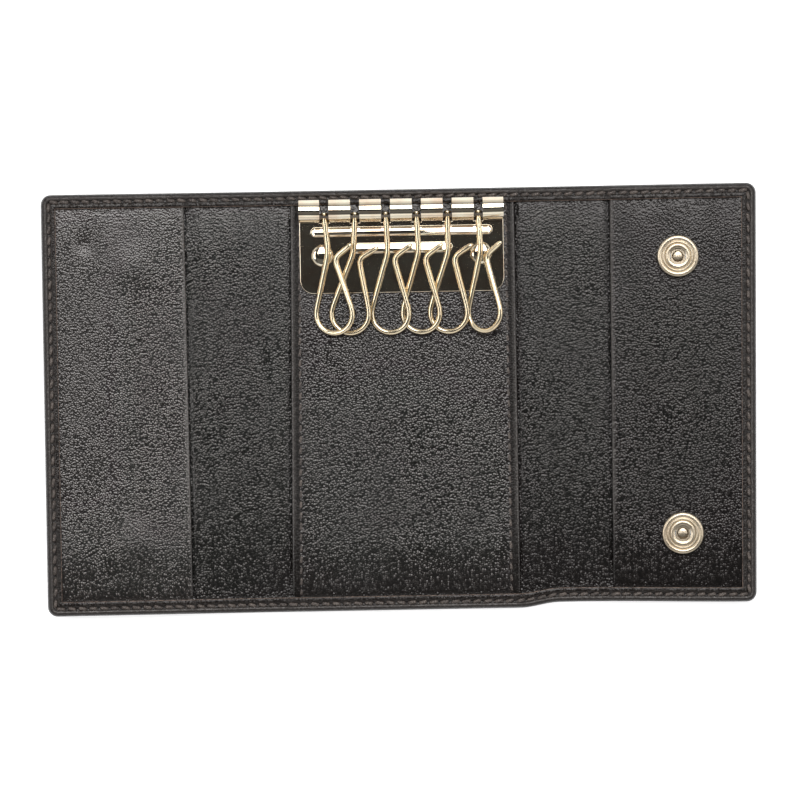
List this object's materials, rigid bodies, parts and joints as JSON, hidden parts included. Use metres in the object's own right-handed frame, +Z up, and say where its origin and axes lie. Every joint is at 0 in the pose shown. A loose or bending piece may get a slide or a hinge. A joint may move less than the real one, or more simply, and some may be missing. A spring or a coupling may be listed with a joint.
{
  "type": "key case",
  "caption": "Tri-fold leather key case, opened flat: side pocket flaps with snap fasteners and a metal plate that carries swinging wire key hooks.",
  "frame": {"origin": "middle of the underside of the centre panel, on the surface that the case lies on", "axes": "+X to the right flap with the snap sockets, +Y to the edge with the hook plate, +Z up, out of the inside of the opened case"},
  "size_m": [0.1774, 0.105, 0.0089],
  "materials": {
    "outer_leather": "grained, satin",
    "lining_leather": "fine grain, matt",
    "panel_leather": "fine grain, satin",
    "board": "matt",
    "polished_plate": "polished, pale gold",
    "hook_wire": "polished, pale gold",
    "snap_brass": "satin, pale gold",
    "pivot_steel": "dark, plain",
    "hidden_steel": "plain"
  },
  "bodies": {
    "centre": {"outer_leather_centre": "outer_leather", "lining_seam_tabs": "lining_leather", "centre_panel": "panel_leather", "centre_stiffener": "board", "key_plate": "polished_plate", "plate_rivets": "polished_plate", "rivet_washers": "hidden_steel"},
    "left_wall": {"outer_leather_left_wall": "outer_leather", "lining_left_wall": "lining_leather"},
    "left_flap": {"outer_leather_left_flap": "outer_leather", "lining_left_flap": "lining_leather", "left_pocket_panel": "panel_leather", "snap_studs": "snap_brass", "stud_posts": "hidden_steel"},
    "right_wall": {"outer_leather_right_wall": "outer_leather", "lining_right_wall": "lining_leather"},
    "right_flap": {"outer_leather_right_flap": "outer_leather", "lining_right_flap": "lining_leather", "right_pocket_panel": "panel_leather", "snap_sockets": "snap_brass", "socket_springs": "hidden_steel", "snap_caps": "snap_brass"},
    "hook_1": {"key_hook_1": "hook_wire", "hook_pivot_1": "pivot_steel"},
    "hook_2": {"key_hook_2": "hook_wire", "hook_pivot_2": "pivot_steel"},
    "hook_3": {"key_hook_3": "hook_wire", "hook_pivot_3": "pivot_steel"},
    "hook_4": {"key_hook_4": "hook_wire", "hook_pivot_4": "pivot_steel"},
    "hook_5": {"key_hook_5": "hook_wire", "hook_pivot_5": "pivot_steel"},
    "hook_6": {"key_hook_6": "hook_wire", "hook_pivot_6": "pivot_steel"}
  },
  "joints": [
    {"name": "left_wall_fold", "type": "hinge", "parent": "centre", "child": "left_wall", "pos_m": [-0.0285, 0, 0.0022], "axis": [0, 1, 0], "range_deg": [0, 90]},
    {"name": "left_flap_fold", "type": "hinge", "parent": "left_wall", "child": "left_flap", "pos_m": [-0.03705, 0, 0.0022], "axis": [0, 1, 0], "range_deg": [0, 86.39]},
    {"name": "right_wall_fold", "type": "hinge", "parent": "centre", "child": "right_wall", "pos_m": [0.0285, 0, 0.0022], "axis": [0, -1, 0], "range_deg": [0, 90]},
    {"name": "right_flap_fold", "type": "hinge", "parent": "right_wall", "child": "right_flap", "pos_m": [0.04195, 0, 0.0022], "axis": [0, -1, 0], "range_deg": [0, 87.76]},
    {"name": "hook_1_swing", "type": "hinge", "parent": "centre", "child": "hook_1", "pos_m": [-0.01918, 0.04619, 0.00543], "axis": [-1, 0, 0], "range_deg": [0, 180]},
    {"name": "hook_2_swing", "type": "hinge", "parent": "centre", "child": "hook_2", "pos_m": [-0.0115, 0.04619, 0.00543], "axis": [-1, 0, 0], "range_deg": [0, 180]},
    {"name": "hook_3_swing", "type": "hinge", "parent": "centre", "child": "hook_3", "pos_m": [-0.00383, 0.04619, 0.00543], "axis": [-1, 0, 0], "range_deg": [0, 180]},
    {"name": "hook_4_swing", "type": "hinge", "parent": "centre", "child": "hook_4", "pos_m": [0.00383, 0.04619, 0.00543], "axis": [-1, 0, 0], "range_deg": [0, 180]},
    {"name": "hook_5_swing", "type": "hinge", "parent": "centre", "child": "hook_5", "pos_m": [0.0115, 0.04619, 0.00543], "axis": [-1, 0, 0], "range_deg": [0, 180]},
    {"name": "hook_6_swing", "type": "hinge", "parent": "centre", "child": "hook_6", "pos_m": [0.01918, 0.04619, 0.00543], "axis": [-1, 0, 0], "range_deg": [0, 180]}
  ]
}
